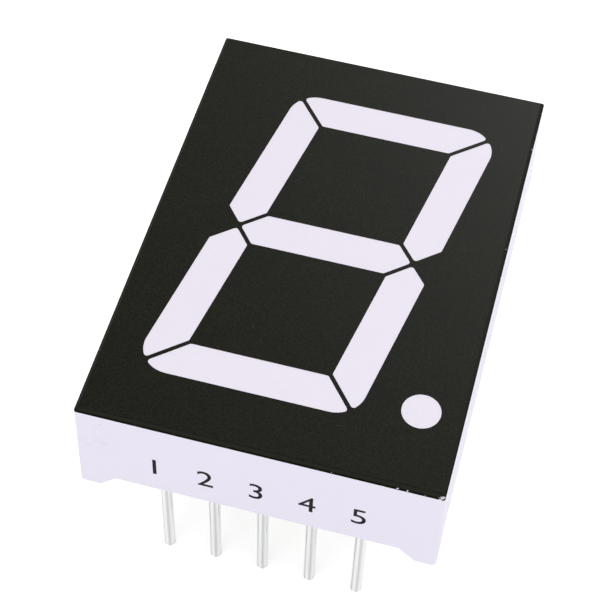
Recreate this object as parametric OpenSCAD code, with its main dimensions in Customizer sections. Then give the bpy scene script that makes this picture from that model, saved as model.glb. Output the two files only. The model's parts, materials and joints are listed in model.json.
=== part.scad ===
// Seven segment LED display: one digit and a decimal point on two rows of pins.
// Millimetres. It stands on its pin tips at z = 0 with the face up. +X runs to the right
// across the face as it is read, and +Y runs to the top of the digit.

/* [Face] */
// Width of the face, out to the foot of its bevel
face_w = 28.2; // [27:0.1:34]
// Length of the face, out to the foot of its bevel
face_l = 40.3; // [39:0.1:48]
// Width and height of the bevel round the face
face_bevel = 0.3; // [0.1:0.05:0.5]
// Radius of the four upright corners of the case
corner_r = 0.2; // [0.2:0.1:1.5]
// Thickness of the black ink on the face
ink_t = 0.08; // [0.05:0.01:0.15]

/* [Digit] */
// Height of the digit over its top and bottom segments
digit_h = 30.48; // [26:0.01:32]
// Width of the digit between the outer edges of its upright segments
digit_w = 17.5; // [14:0.1:18.5]
// Lean of the digit to the right, in degrees
digit_lean = 9.6; // [0:0.2:12]
// Width of each segment
segment_w = 3.1; // [2.6:0.1:3.6]
// Width of the black line between two segments
segment_gap = 0.35; // [0.2:0.05:0.6]
// Radius of the four outer corners of the digit
digit_corner_r = 2.4; // [1.2:0.1:3]
// Radius of the other corners of each segment
segment_corner_r = 0.25; // [0.1:0.05:0.4]
// Diameter of the decimal point
dot_d = 3; // [2.6:0.1:3.6]
// From the right edge of the face to the middle of the decimal point
dot_from_right = 3.3; // [2.6:0.1:3.8]
// From the bottom edge of the face to the middle of the decimal point
dot_from_bottom = 6.8; // [5.8:0.1:8]

/* [Case] */
// Depth of the case from the face to its rim between the feet
case_h = 8.6; // [8.2:0.1:12]
// Thickness of the side walls round the circuit board
wall_t = 1.1; // [0.8:0.1:1.2]
// How far each side wall leans out between the face and the feet
wall_draft = 0.15; // [0:0.05:0.4]
// Radius of the upright inner corners of the case
pocket_r = 0.8; // [0.5:0.1:2]
// Depth of the light wells from the face to the circuit board
well_depth = 4.6; // [3.5:0.1:5]
// Straight stretch of each light well below the face
well_land = 0.6; // [0.3:0.1:1]
// How far each side of a light well comes in from its straight stretch to the board
well_taper = 0.5; // [0.1:0.05:0.6]
// Thickness of the face plate over the two recesses inside the digit's loops
face_plate_t = 1.4; // [1:0.1:2.5]
// Thickness of plastic between those recesses and the light wells round them
core_wall = 1.1; // [0.8:0.1:2]
// Height of the corner feet below the rim
foot_h = 1.3; // [0.8:0.1:2]
// Flat length of each foot along its two walls
foot_l = 1.7; // [1.3:0.1:3]
// Run of the slope from each foot up to the rim
foot_run = 1.3; // [0.5:0.1:3]

/* [Circuit board] */
// Thickness of the circuit board
board_t = 1.6; // [1:0.1:1.8]
// Gap between the edge of the board and the case, which the potting resin fills
board_gap = 0.2; // [0.1:0.05:0.3]
// Thickness of the copper on the board
copper_t = 0.07; // [0.04:0.01:0.1]
// Width of the copper tracks
track_w = 0.6; // [0.4:0.05:0.7]
// How far the round ends of the tracks stand out past their sides
track_end = 0.05; // [0.03:0.01:0.08]
// From the edge of the board to the track that runs along its side
side_track_inset = 2; // [1.2:0.1:2.4]
// Diameter of the copper posts that pass through the board
via_d = 0.5; // [0.3:0.05:0.6]

/* [LED chips] */
// Width of each LED chip
chip_w = 0.4; // [0.25:0.05:0.5]
// Height of each LED chip
chip_h = 0.3; // [0.2:0.05:0.4]
// Distance between the two chips of a segment
chip_spacing = 5; // [3.8:0.1:6]
// From the middle of a chip to the spot where its bond wire lands
bond_span = 1.3; // [1.2:0.05:1.6]
// Diameter of the bond wires
wire_d = 0.08; // [0.06:0.01:0.12]
// Gap between neighbouring copper pads
pad_gap = 0.3; // [0.15:0.05:0.4]
// From the side of a light well's floor to the copper pads on it
pad_margin = 0.25; // [0.1:0.05:0.4]
// The same margin in the well of the decimal point
dot_pad_margin = 0.1; // [0.05:0.01:0.15]

/* [Pins] */
// Diameter of the pins over their tin
pin_d = 0.9; // [0.5:0.05:1]
// Thickness of the tin on the pins
tin_t = 0.05; // [0.02:0.01:0.08]
// Length of the pins over which the tin thins out at its upper end
tin_edge = 0.6; // [0.55:0.05:1]
// Bare length of the pins between the tin and the resin
bare_l = 0.3; // [0.1:0.1:1]
// Distance between neighbouring pins of a row
pin_pitch = 4; // [2.54:0.01:4.6]
// From each end edge of the face to its pin row
row_inset = 2.15; // [2.1:0.05:2.6]
// Length of the pins below the feet
pin_l = 11.1; // [3:0.1:15]
// Chamfer at the pin tips
pin_chamfer = 0.15; // [0.05:0.05:0.2]
// Length of the pins that stands up past the front of the board
pin_head = 0.6; // [0.3:0.1:1]
// Clearance round the pin heads in the case
head_clearance = 0.4; // [0.2:0.1:0.6]
// Width of the copper ring round each pin
ring_w = 0.45; // [0.3:0.05:0.5]
// Height of the solder round each pin
solder_h = 1; // [0.6:0.1:1.3]
// Thickness of the solder where it ends on the pin
solder_edge = 0.1; // [0.05:0.01:0.15]
// Bare margin of each copper ring round its solder
solder_margin = 0.1; // [0.05:0.01:0.15]

/* [Potting resin] */
// How far the back of the resin lies inside the rim
resin_recess = 0.35; // [0.1:0.05:0.7]

/* [Hidden] */
$fn = 48;
// Steps of each rounded corner in an outline that is given by points, and of a segment's small corners
arc_steps = 9;
tip_steps = 4;
// Smallest radius that an inset corner keeps
least_r = 0.1;
// How far a cut runs past the surface that it opens
cut = 1;

// The segments in their usual order, then the decimal point, and where each one lies.
SEGMENTS = ["a", "b", "c", "d", "e", "f", "g", "dot"];
TOP = 0;
UPPER_RIGHT = 1;
LOWER_RIGHT = 2;
UPPER_LEFT = 5;
MIDDLE = 6;
DOT = 7;
PIN_COUNT = 10;
ROW_COUNT = PIN_COUNT / 2;
// The pin that each of them is driven from. The middle pin of each row is the common one.
SEGMENT_PINS = [7, 6, 4, 2, 1, 9, 10, 5];
COMMON_PINS = [3, 8];
// Where the current enters and leaves each segment, as steps along the digit's centre lines.
SEGMENT_RUNS = [[[-1, 1], [1, 1]], [[1, 0], [1, 1]], [[1, 0], [1, -1]], [[1, -1], [-1, -1]],
                [[-1, 0], [-1, -1]], [[-1, 0], [-1, 1]], [[1, 0], [-1, 0]]];

// Heights, from the pin tips up.
z_foot = pin_l;
z_rim = z_foot + foot_h;
z_face = z_rim + case_h;
z_plastic = z_face - ink_t;
z_board = z_face - well_depth;
z_board_back = z_board - board_t;
z_resin = z_rim + resin_recess;
z_bare = z_resin - bare_l;
z_head = z_board + pin_head;
z_chip_top = z_board + copper_t + chip_h;

// Plan sizes.
base_w = face_w + 2 * wall_draft;
base_l = face_l + 2 * wall_draft;
pocket_w = base_w - 2 * wall_t;
pocket_l = base_l - 2 * wall_t;
board_w = pocket_w - 2 * board_gap;
board_l = pocket_l - 2 * board_gap;
// Half of the digit's size on its outer edges, and on the centre lines of its segments.
outer = [digit_w, digit_h] / 2;
centre = [(digit_w - segment_w) / 2, (digit_h - segment_w) / 2];
dot_at = [face_w / 2 - dot_from_right, dot_from_bottom - face_l / 2];
// Radius of the decimal point's well at the board, and the width of the other wells there.
dot_floor_r = dot_d / 2 - well_taper;
floor_w = segment_w - 2 * well_taper;
dot_span = dot_floor_r;
row_y = face_l / 2 - row_inset;
shank_d = pin_d - 2 * tin_t;
side_track_x = -(board_w / 2 - side_track_inset);

// ---- Points and lines ----

function unit(v) = v / norm(v);
function heading(v) = atan2(v[1], v[0]);
// A line from p towards q, moved k to its left, as [point, direction].
function line(p, q, k = 0) = moved([p, unit(q - p)], k);
function moved(m, k) = [m[0] + k * [-m[1][1], m[1][0]], m[1]];
function meet(m, n) = m[0] + m[1] * cross(n[0] - m[0], n[1]) / cross(m[1], n[1]);
// The point of a line nearest to c, and half of the length that a circle round c cuts from it.
function nearest(m, c) = m[0] + m[1] * ((c - m[0]) * m[1]);
function half_chord(m, c, r) = sqrt(max(0, r * r - pow(norm(nearest(m, c) - c), 2)));
function arc(c, r, from, to, steps = arc_steps) =
    [for (k = [0:steps]) let (a = from + (to - from) * k / steps) c + r * [cos(a), sin(a)]];
// The arc round c, anticlockwise from the direction of u to the direction of v.
function swing(c, r, u, v, steps = arc_steps) =
    let (from = heading(u), to = heading(v)) arc(c, r, from, to < from ? to + 360 : to, steps);
// The small round corner where line m runs into line n.
function small_corner(m, n) =
    let (r = segment_corner_r, c = meet(moved(m, r), moved(n, r)))
    swing(c, r, nearest(m, c) - c, nearest(n, c) - c, tip_steps);
// The small round corner between the wide arc round c and a line that cuts it, as its middle.
// The line leaves the arc's circle where way is 1, and enters it where way is -1.
function small_middle(m, c, r, way) =
    let (n = moved(m, segment_corner_r))
    nearest(n, c) + way * half_chord(n, c, r - segment_corner_r) * n[1];
// The corner of the digit where a slanting cut meets an outer edge, with its wide arc round c.
function wide_corner(m, n, c, r) =
    half_chord(m, c, r) > segment_corner_r
    ? let (p = small_middle(m, c, r, 1))
      concat(swing(p, segment_corner_r, nearest(m, p) - p, p - c, tip_steps),
             rest(swing(c, r, p - c, nearest(n, c) - c)))
    : let (p = small_middle(n, c, r, -1))
      concat(swing(c, r, nearest(m, c) - c, p - c),
             rest(swing(p, segment_corner_r, p - c, nearest(n, p) - p, tip_steps)));
function rest(list) = [for (k = [1:len(list) - 1]) list[k]];
// The outline inside a ring of lines, with a wide arc at each corner that has a centre.
function outline(lines, centres, r) =
    [for (i = [0:len(lines) - 1])
        let (m = lines[i], n = lines[(i + 1) % len(lines)])
        each centres[i] == undef ? small_corner(m, n) : wide_corner(m, n, centres[i], r)];
function rounded(w, l, r) =
    [for (c = [[1, 1, 0], [-1, 1, 90], [-1, -1, 180], [1, -1, 270]])
        each arc([c[0] * (w / 2 - r), c[1] * (l / 2 - r)], r, c[2], c[2] + 90)];
// The outline of the face, moved in by a distance.
function face_outline(inset) =
    rounded(face_w - 2 * inset, face_l - 2 * inset, max(corner_r - inset, least_r));

// ---- The digit ----

// A point of the upright digit, moved over by its lean.
function lean(p) = [p[0] + p[1] * tan(digit_lean), p[1]];
function outer_corner(sx, sy) = lean([sx * outer[0], sy * outer[1]]);
function inner_corner(sx, sy) = lean([sx * (outer[0] - segment_w), sy * (outer[1] - segment_w)]);
function joint(sx) = lean([sx * centre[0], 0]);
// A point a step across and a step up or down from a joint, on the slanting cut through it.
function beside(sx, dx, dy) = lean([sx * centre[0] + dx, dy]);
// Middle of the arc at an upper corner of the digit.
function arc_centre(sx) =
    let (top = line(outer_corner(1, 1), outer_corner(-1, 1), digit_corner_r),
         side = sx > 0 ? line(outer_corner(1, -1), outer_corner(1, 1), digit_corner_r)
                       : line(outer_corner(-1, 1), outer_corner(-1, -1), digit_corner_r))
    meet(top, side);

// The outlines of segments a, b, f and g, with each side moved in by t.
function top_segment(t) = let (end = segment_gap / 2 + t) outline(
    [line(outer_corner(-1, 1), inner_corner(-1, 1), end), line(inner_corner(-1, 1), inner_corner(1, 1), t),
     line(inner_corner(1, 1), outer_corner(1, 1), end), line(outer_corner(1, 1), outer_corner(-1, 1), t)],
    [undef, undef, arc_centre(1), arc_centre(-1)], digit_corner_r - t);
function upper_right_segment(t) = let (end = segment_gap / 2 + t) outline(
    [line(outer_corner(1, -1), outer_corner(1, 1), t), line(outer_corner(1, 1), inner_corner(1, 1), end),
     line(inner_corner(1, 1), inner_corner(1, -1), t), line(beside(1, -1, 1), joint(1), end),
     line(joint(1), beside(1, 1, 1), end)],
    [arc_centre(1), undef, undef, undef, undef], digit_corner_r - t);
function upper_left_segment(t) = let (end = segment_gap / 2 + t) outline(
    [line(inner_corner(-1, 1), outer_corner(-1, 1), end), line(outer_corner(-1, 1), outer_corner(-1, -1), t),
     line(beside(-1, -1, 1), joint(-1), end), line(joint(-1), beside(-1, 1, 1), end),
     line(inner_corner(-1, -1), inner_corner(-1, 1), t)],
    [arc_centre(-1), undef, undef, undef, undef], digit_corner_r - t);
function middle_segment(t) = let (end = segment_gap / 2 + t, half = segment_w / 2) outline(
    [line(lean([-1, -half]), lean([1, -half]), t), line(beside(1, -1, -1), joint(1), end),
     line(joint(1), beside(1, -1, 1), end), line(lean([1, half]), lean([-1, half]), t),
     line(beside(-1, 1, 1), joint(-1), end), line(joint(-1), beside(-1, 1, -1), end)],
    [undef, undef, undef, undef, undef, undef], 0);
// Segments d, e and c are a, b and f turned half round: each is three steps on round the digit.
function segment_outline(i, t) =
    i == TOP ? top_segment(t) : i == UPPER_RIGHT ? upper_right_segment(t)
    : i == UPPER_LEFT ? upper_left_segment(t) : i == MIDDLE ? middle_segment(t)
    : -segment_outline((i + 3) % MIDDLE, t);

// A closed body through a stack of outlines, each given as [outline, height].
module skin(stack) {
    n = len(stack[0][0]);
    last = len(stack) - 1;
    polyhedron(
        points = [for (layer = stack) for (p = layer[0]) [p[0], p[1], layer[1]]],
        faces = concat(
            [[for (k = [0:n - 1]) k], [for (k = [n - 1:-1:0]) last * n + k]],
            [for (j = [0:last - 1]) for (k = [0:n - 1])
                let (a = j * n + k, b = j * n + (k + 1) % n)
                each [[a, a + n, b + n], [a, b + n, b]]]));
}

// The space of one light well, from the circuit board up to the surface of the ink.
module light_well(i) {
    if (i == DOT)
        translate([dot_at[0], dot_at[1], z_board])
            rotate_extrude()
                polygon([[0, 0], [dot_floor_r, 0], [dot_d / 2, well_depth - well_land],
                         [dot_d / 2, well_depth], [0, well_depth]]);
    else
        skin([[segment_outline(i, well_taper), z_board], [segment_outline(i, 0), z_face - well_land],
              [segment_outline(i, 0), z_face]]);
}

// ---- Case and face ----

module reflector_case() {
    color("white") difference() {
        skin([[face_outline(-wall_draft), z_foot], [face_outline(0), z_plastic - face_bevel],
              [face_outline(face_bevel), z_plastic]]);
        pocket(z_foot - cut, z_board);
        for (i = [0:DOT]) light_well(i);
        for (side = [-1, 1]) {
            pin_head_slot(side);
            core_recess(side);
        }
        rim_relief(base_w, base_l);
        rotate([0, 0, 90]) rim_relief(base_l, base_w);
    }
}

// The space inside the side walls between two heights.
module pocket(from, to) {
    translate([0, 0, from]) linear_extrude(height = to - from)
        polygon(rounded(pocket_w, pocket_l, pocket_r));
}

// What is cut from two opposite walls to leave a foot at each corner.
module rim_relief(across, along) {
    half = across / 2 - foot_l;
    rotate([90, 0, 0]) linear_extrude(height = along + 2 * cut, center = true)
        polygon([[-half - foot_run, z_foot - foot_h], [half + foot_run, z_foot - foot_h],
                 [half - foot_run, z_rim], [foot_run - half, z_rim]]);
}

// The recess that keeps the plastic thin inside the upper or the lower loop of the digit.
module core_recess(side) {
    x = outer[0] - segment_w - core_wall;
    near = side * (segment_w / 2 + core_wall);
    far = side * (outer[1] - segment_w - core_wall);
    translate([0, 0, z_board - cut]) linear_extrude(height = cut + well_depth - face_plate_t)
        polygon([lean([-x, near]), lean([x, near]), lean([x, far]), lean([-x, far])]);
}

// Room in the case for the ends of a row of pins.
module pin_head_slot(side) {
    w = shank_d + 2 * head_clearance;
    first = pin_at(1)[0];
    last = pin_at(ROW_COUNT)[0];
    translate([0, side * row_y, z_board - cut]) linear_extrude(height = cut + pin_head + head_clearance) {
        translate([first, -w / 2]) square([last - first, w]);
        for (x = [first, last]) translate([x, 0]) circle(d = w);
    }
}

module face_ink() {
    color([0.15, 0.155, 0.13]) difference() {
        skin([[face_outline(face_bevel), z_plastic], [face_outline(0), z_plastic - face_bevel],
              [face_outline(0), z_face - face_bevel], [face_outline(face_bevel), z_face]]);
        for (i = [0:DOT]) light_well(i);
    }
}

module light_window(i) {
    color([0.93, 0.91, 0.95]) difference() {
        light_well(i);
        chips(i);
        wires(i);
        segment_pads(i);
    }
}

// ---- LED chips and bond wires ----

function run_start(i) = i == DOT ? [0, 1] : lean([for (k = [0, 1]) SEGMENT_RUNS[i][0][k] * centre[k]]);
function run_end(i) = i == DOT ? [0, -1] : lean([for (k = [0, 1]) SEGMENT_RUNS[i][1][k] * centre[k]]);
function run_angle(i) = heading(run_end(i) - run_start(i));
function run_middle(i) = i == DOT ? dot_at : (run_start(i) + run_end(i)) / 2;
// The spot a distance along a segment from its middle, the way the current runs.
function spot(i, s) = run_middle(i) + s * unit(run_end(i) - run_start(i));
function span(i) = i == DOT ? dot_span : bond_span;
// How far each chip lies from the middle of its segment.
function chip_places(i) = i == DOT ? [-dot_span / 2] : [for (k = [-1, 1]) (k * chip_spacing - bond_span) / 2];
function bond_places(i) = [for (s = chip_places(i)) s + span(i)];
function anode(i) = spot(i, chip_places(i)[0]);
function cathode(i) = let (places = bond_places(i)) spot(i, places[len(places) - 1]);

// Puts its children at a spot of a segment, turned to run along it.
module along(i, s, z) {
    translate([spot(i, s)[0], spot(i, s)[1], z]) rotate([0, 0, run_angle(i)]) children();
}

module chips(i) {
    for (s = chip_places(i)) along(i, s, z_board + copper_t)
        translate([-chip_w / 2, -chip_w / 2, 0]) cube([chip_w, chip_w, chip_h]);
}

// Each bond wire arches up from the top of its chip and down to the copper beside it.
module wires(i) {
    for (s = chip_places(i)) along(i, s + span(i) / 2, z_chip_top) {
        rotate([90, 0, 0]) rotate_extrude(angle = 180) translate([span(i) / 2, 0]) circle(d = wire_d);
        translate([span(i) / 2, 0, -chip_h]) cylinder(d = wire_d, h = chip_h);
    }
}

module led_chips(i) {
    color("goldenrod") chips(i);
}

module bond_wires(i) {
    color("gold") wires(i);
}

// ---- Circuit board ----

// Pins are numbered along the bottom row to the right, then back along the top row.
function pin_at(n) = let (middle = (ROW_COUNT + 1) / 2)
    n <= ROW_COUNT ? [(n - middle) * pin_pitch, -row_y]
                   : [(ROW_COUNT + middle - n) * pin_pitch, row_y];

module at_pins() {
    for (n = [1:PIN_COUNT]) translate([pin_at(n)[0], pin_at(n)[1], 0]) children();
}

module board_blank() {
    translate([0, 0, z_board_back]) linear_extrude(height = board_t)
        polygon(rounded(board_w, board_l, pocket_r - board_gap));
}

module via(p) {
    translate([p[0], p[1], z_board_back]) cylinder(d = via_d, h = board_t);
}

module circuit_board() {
    color([0.13, 0.42, 0.24]) difference() {
        board_blank();
        at_pins() translate([0, 0, z_board_back - cut]) cylinder(d = shank_d, h = board_t + 2 * cut);
        for (i = [0:DOT]) {
            via(anode(i));
            via(cathode(i));
        }
    }
}

// ---- Copper ----

// A copper pad on the floor of a light well, between two places along its segment.
module pad(i, from, to) {
    if (i == DOT)
        translate([dot_at[0], dot_at[1], z_board]) linear_extrude(height = copper_t) intersection() {
            circle(r = dot_floor_r - dot_pad_margin);
            rotate([0, 0, run_angle(i)]) translate([from, -dot_d / 2]) square([to - from, dot_d]);
        }
    else
        along(i, from, z_board) translate([0, -(floor_w / 2 - pad_margin), 0])
            cube([to - from, floor_w - 2 * pad_margin, copper_t]);
}

// Half of the length of a pad round a chip or a landing spot.
function half_pad(i) = (span(i) - pad_gap) / 2;

module anode_pad(i) {
    s = chip_places(i)[0];
    pad(i, s - half_pad(i), s + half_pad(i));
}

module cathode_pad(i) {
    s = bond_places(i)[len(bond_places(i)) - 1];
    pad(i, s - half_pad(i), s + half_pad(i));
}

// The copper that links the first chip of a segment to the second.
module link_pad(i) {
    if (i != DOT) pad(i, bond_places(i)[0] - half_pad(i), chip_places(i)[1] + half_pad(i));
}

module segment_pads(i) {
    anode_pad(i);
    cathode_pad(i);
    link_pad(i);
}

// A flat track through a list of points, with a slightly wider round land on each point.
module track(points) {
    for (k = [1:len(points) - 1]) {
        p = points[k - 1];
        q = points[k];
        translate(p) rotate(heading(q - p)) translate([0, -track_w / 2]) square([norm(q - p), track_w]);
    }
    for (p = points) translate(p) circle(d = track_w + 2 * track_end);
}

module pin_ring(n) {
    translate(pin_at(n)) circle(r = shank_d / 2 + ring_w);
}

// The points of the track from a segment's pin to its last pad.
function segment_route(i) =
    let (from = pin_at(SEGMENT_PINS[i]), to = cathode(i),
         corner = [side_track_x, from[1] - (from[0] - side_track_x)])
    i == MIDDLE ? [from, corner, [side_track_x, to[1]], to] : [from, to];

module back_copper() {
    translate([0, 0, z_board_back - copper_t]) linear_extrude(height = copper_t) children();
}

module segment_net_back(i) {
    back_copper() {
        track(segment_route(i));
        pin_ring(SEGMENT_PINS[i]);
    }
}

// The common track runs from pin to pin up the middle, with a branch to every segment.
module common_net_back() {
    back_copper() {
        track([pin_at(COMMON_PINS[0]), pin_at(COMMON_PINS[1])]);
        for (n = COMMON_PINS) pin_ring(n);
        for (i = [0:DOT - 1]) track([[0, anode(i)[1]], anode(i)]);
        track([anode(LOWER_RIGHT), [anode(DOT)[0], anode(LOWER_RIGHT)[1]], anode(DOT)]);
    }
}

module copper_tracks() {
    color([0.80, 0.50, 0.26]) difference() {
        union() {
            common_net_back();
            for (i = [0:DOT]) {
                segment_net_back(i);
                via(anode(i));
                via(cathode(i));
                segment_pads(i);
            }
        }
        at_pins() translate([0, 0, z_board_back - cut]) cylinder(d = shank_d, h = 2 * cut);
    }
}

// ---- Pins, solder and resin ----

// A wire pin: a tinned stretch with a chamfered tip, then the bare shank that the board holds.
module pin() {
    r = pin_d / 2;
    rotate_extrude()
        polygon([[0, 0], [r - pin_chamfer, 0], [r, pin_chamfer], [r, z_bare - tin_edge],
                 [shank_d / 2, z_bare], [shank_d / 2, z_head], [0, z_head]]);
}

module numbered_pin(n) {
    color("silver") translate([pin_at(n)[0], pin_at(n)[1], 0]) pin();
}

// A hollow-sided cone of solder, widest on the copper ring and thin down the pin.
module solder_cone() {
    wide = ring_w - solder_margin;
    steps = 5;
    translate([0, 0, z_board_back - copper_t]) rotate_extrude()
        polygon(concat(
            [[0, 0]],
            [for (k = [0:steps]) let (a = 90 * k / steps)
                [shank_d / 2 + wide - (wide - solder_edge) * sin(a), -solder_h * (1 - cos(a))]],
            [[0, -solder_h]]));
}

module solder_joints() {
    color("gainsboro") difference() {
        at_pins() solder_cone();
        at_pins() translate([0, 0, z_board_back - copper_t - solder_h - cut])
            cylinder(d = shank_d, h = solder_h + 2 * cut);
    }
}

module potting_resin() {
    color([0.90, 0.90, 0.86]) difference() {
        pocket(z_resin, z_board);
        board_blank();
        common_net_back();
        for (i = [0:DOT]) segment_net_back(i);
        at_pins() {
            solder_cone();
            pin();
        }
    }
}

reflector_case();
face_ink();
circuit_board();
copper_tracks();
solder_joints();
potting_resin();
for (i = [0:DOT]) light_window(i);
for (i = [0:DOT]) led_chips(i);
for (i = [0:DOT]) bond_wires(i);
for (n = [1:PIN_COUNT]) numbered_pin(n);
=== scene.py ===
"""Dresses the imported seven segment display: its surfaces, its fine pieces and its stage.

Lengths are in metres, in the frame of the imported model: it stands on its pin tips with the face up.
"""

import json
import math

import bmesh
import bpy
from bpy.props import FloatProperty, FloatVectorProperty, IntProperty, PointerProperty
from bpy.types import Operator, Panel, PropertyGroup
from mathutils import Matrix, Vector


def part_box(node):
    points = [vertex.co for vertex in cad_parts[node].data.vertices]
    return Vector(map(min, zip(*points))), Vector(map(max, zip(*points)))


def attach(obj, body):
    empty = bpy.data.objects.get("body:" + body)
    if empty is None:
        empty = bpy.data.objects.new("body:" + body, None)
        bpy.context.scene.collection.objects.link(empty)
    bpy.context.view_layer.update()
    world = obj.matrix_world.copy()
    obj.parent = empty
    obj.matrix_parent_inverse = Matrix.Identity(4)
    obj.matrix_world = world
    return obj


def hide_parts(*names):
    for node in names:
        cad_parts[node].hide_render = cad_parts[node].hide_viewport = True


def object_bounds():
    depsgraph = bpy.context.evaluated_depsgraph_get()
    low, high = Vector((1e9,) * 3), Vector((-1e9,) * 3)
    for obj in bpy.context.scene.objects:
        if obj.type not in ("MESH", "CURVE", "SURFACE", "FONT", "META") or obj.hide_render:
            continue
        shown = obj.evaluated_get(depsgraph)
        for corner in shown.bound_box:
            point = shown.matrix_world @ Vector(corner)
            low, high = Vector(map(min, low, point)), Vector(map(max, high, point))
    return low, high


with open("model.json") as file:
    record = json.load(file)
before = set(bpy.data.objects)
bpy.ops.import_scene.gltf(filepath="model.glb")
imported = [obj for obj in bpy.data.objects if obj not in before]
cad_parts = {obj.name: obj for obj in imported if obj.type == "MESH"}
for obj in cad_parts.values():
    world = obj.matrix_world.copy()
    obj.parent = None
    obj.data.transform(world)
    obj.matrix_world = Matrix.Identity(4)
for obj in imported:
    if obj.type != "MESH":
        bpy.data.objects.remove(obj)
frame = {"nodes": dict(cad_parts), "record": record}

bl_info = {
    "name": "Seven Segment Display",
    "version": (1, 0, 0),
    "blender": (4, 5, 0),
    "location": "View3D > Sidebar > Display",
    "description": "Dresses a single digit LED display and sets it on a plain studio floor",
    "category": "Object",
}

MM = 0.001
TOUCH = 0.001 * MM
SEGMENTS = ("a", "b", "c", "d", "e", "f", "g", "dot")
PINS = tuple(f"pin_{n}" for n in range(1, 11))
FRONT_PINS = PINS[:5]

CAD_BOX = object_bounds()
CASE_LOW, CASE_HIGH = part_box("reflector_case")
INK_LOW, INK_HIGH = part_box("face_ink")
BOARD_LOW, BOARD_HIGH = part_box("circuit_board")
RESIN_LOW, RESIN_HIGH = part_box("potting_resin")
SOLDER_LOW, SOLDER_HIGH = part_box("solder_joints")
MOUNTS = {mount["name"]: mount for mount in frame["record"]["mounts"]}
WALL_DRAFT = (INK_LOW.y - CASE_LOW.y) / (INK_LOW.z - CASE_LOW.z)


# ---- Sizes and colours ----


def length(name, description, default):
    """A length property in metres."""
    return FloatProperty(
        name=name, description=description, default=default, subtype="DISTANCE", unit="LENGTH",
        precision=5)


def colour(name, description, default):
    """A colour property."""
    return FloatVectorProperty(
        name=name, description=description, default=default, subtype="COLOR", size=3, min=0, max=1)


def share(name, description, default):
    """A property that runs from none to all."""
    return FloatProperty(
        name=name, description=description, default=default, subtype="FACTOR", min=0, max=1)


def point(name, description, default):
    """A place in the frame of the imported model."""
    return FloatVectorProperty(
        name=name, description=description, default=default, subtype="TRANSLATION", unit="LENGTH",
        size=3, precision=5)


def watts(name, description, default):
    """The power of a lamp."""
    return FloatProperty(name=name, description=description, default=default, min=0, unit="POWER")


def degrees(name, description, default):
    """An angle, with its default given in degrees."""
    return FloatProperty(
        name=name, description=description, default=math.radians(default), subtype="ANGLE")


class DisplayCaseSettings(PropertyGroup):
    """The white moulding and the print on its front wall."""

    edge_radius: length("Edge radius", "Rounding of the edges at the back of the case", 0.08 * MM)
    plastic: colour("Plastic", "Colour of the moulding", (0.79, 0.753, 0.877))
    roughness: share("Roughness", "Roughness of the moulded surface", 0.42)
    grain: length("Grain", "Size of the grain in the moulded surface", 0.12 * MM)
    number_height: length("Number height", "Height of the pin numbers", 2.0 * MM)
    number_rise: length("Number rise", "From the feet up to the foot of the pin numbers", 3.5 * MM)
    print_relief: length("Print relief", "How far the printed numbers stand proud", 0.012 * MM)


class DisplayFaceSettings(PropertyGroup):
    """The black face and the light windows in it."""

    edge_radius: length("Edge radius", "Rounding of the face's outer edge", 0.05 * MM)
    ink: colour("Ink", "Colour of the face", (0.0036, 0.0044, 0.0004))
    # Painted sheen: the bevel's ink is made lighter to stand in for the sheen that the face shows.
    thin_ink: colour(
        "Thin ink", "Colour of the ink where it thins over the bevel", (0.0178, 0.0187, 0.0144))
    ink_roughness: share("Ink roughness", "Roughness of the face", 0.50)
    ink_gloss: share("Ink gloss", "Strength of the face's reflections", 0.10)
    bevel_gloss: share("Bevel gloss", "Strength of the bevel's reflections", 0.02)
    ink_grain: length("Ink grain", "Size of the grain in the ink", 0.16 * MM)
    window: colour("Window", "Colour of the diffusing resin", (0.86, 0.812, 0.912))
    window_roughness: share("Window roughness", "Roughness of the light windows", 0.46)


class DisplayPinSettings(PropertyGroup):
    """The tinned wire pins and the solder round them."""

    sides: IntProperty(name="Sides", description="Sides of each pin", default=32, min=12, max=64)
    tin_thickness: length("Tin thickness", "Thickness of the tin over the wire", 0.05 * MM)
    swell: length("Swell", "How far the tin runs thicker and thinner along a pin", 0.002 * MM)
    tin: colour("Tin", "Colour of the tin", (0.84, 0.843, 0.85))
    # Painted reflection: the darker lines down each pin stand in for the dark surroundings that the
    # tin reflects.
    dull_tin: share(
        "Dull tin", "Brightness of the dull lines along a pin, beside the rest of the tin", 0.68)
    # Width of the painted reflection line down a pin's front and back.
    dull_width: length(
        "Dull width", "Width of the dull line down a pin's front and back", 0.22 * MM)
    tin_roughness: share("Tin roughness", "Roughness of the tin", 0.19)
    solder: colour("Solder", "Colour of the solder", (0.74, 0.745, 0.755))


class DisplayResinSettings(PropertyGroup):
    """The resin that the back of the case is filled with."""

    wall_climb: length("Wall climb", "How far the resin climbs the walls of the case", 0.22 * MM)
    wall_reach: length("Wall reach", "How far from the walls the resin starts to climb", 0.7 * MM)
    pin_climb: length("Pin climb", "How far the resin climbs each pin", 0.20 * MM)
    pin_reach: length("Pin reach", "How far from a pin's axis the resin starts to climb", 1.1 * MM)
    overlap: length(
        "Overlap", "How far the resin's hidden sides reach into what they touch", 0.02 * MM)
    resin: colour("Resin", "Colour of the resin", (0.78, 0.79, 0.72))
    cover: share("Cover", "How much the milky resin hides what lies in it", 0.34)


class DisplayBoardSettings(PropertyGroup):
    """The circuit board and what it carries."""

    mask: colour("Mask", "Colour of the board's coating", (0.018, 0.135, 0.060))
    weave: length("Weave", "Width of the glass strands in the board", 0.45 * MM)
    copper: colour("Copper", "Colour of the tracks", (0.78, 0.40, 0.20))
    crystal: colour("Crystal", "Colour of the LED chips", (0.78, 0.36, 0.07))
    gold: colour("Gold", "Colour of the bond wires", (1.0, 0.70, 0.28))


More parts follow.
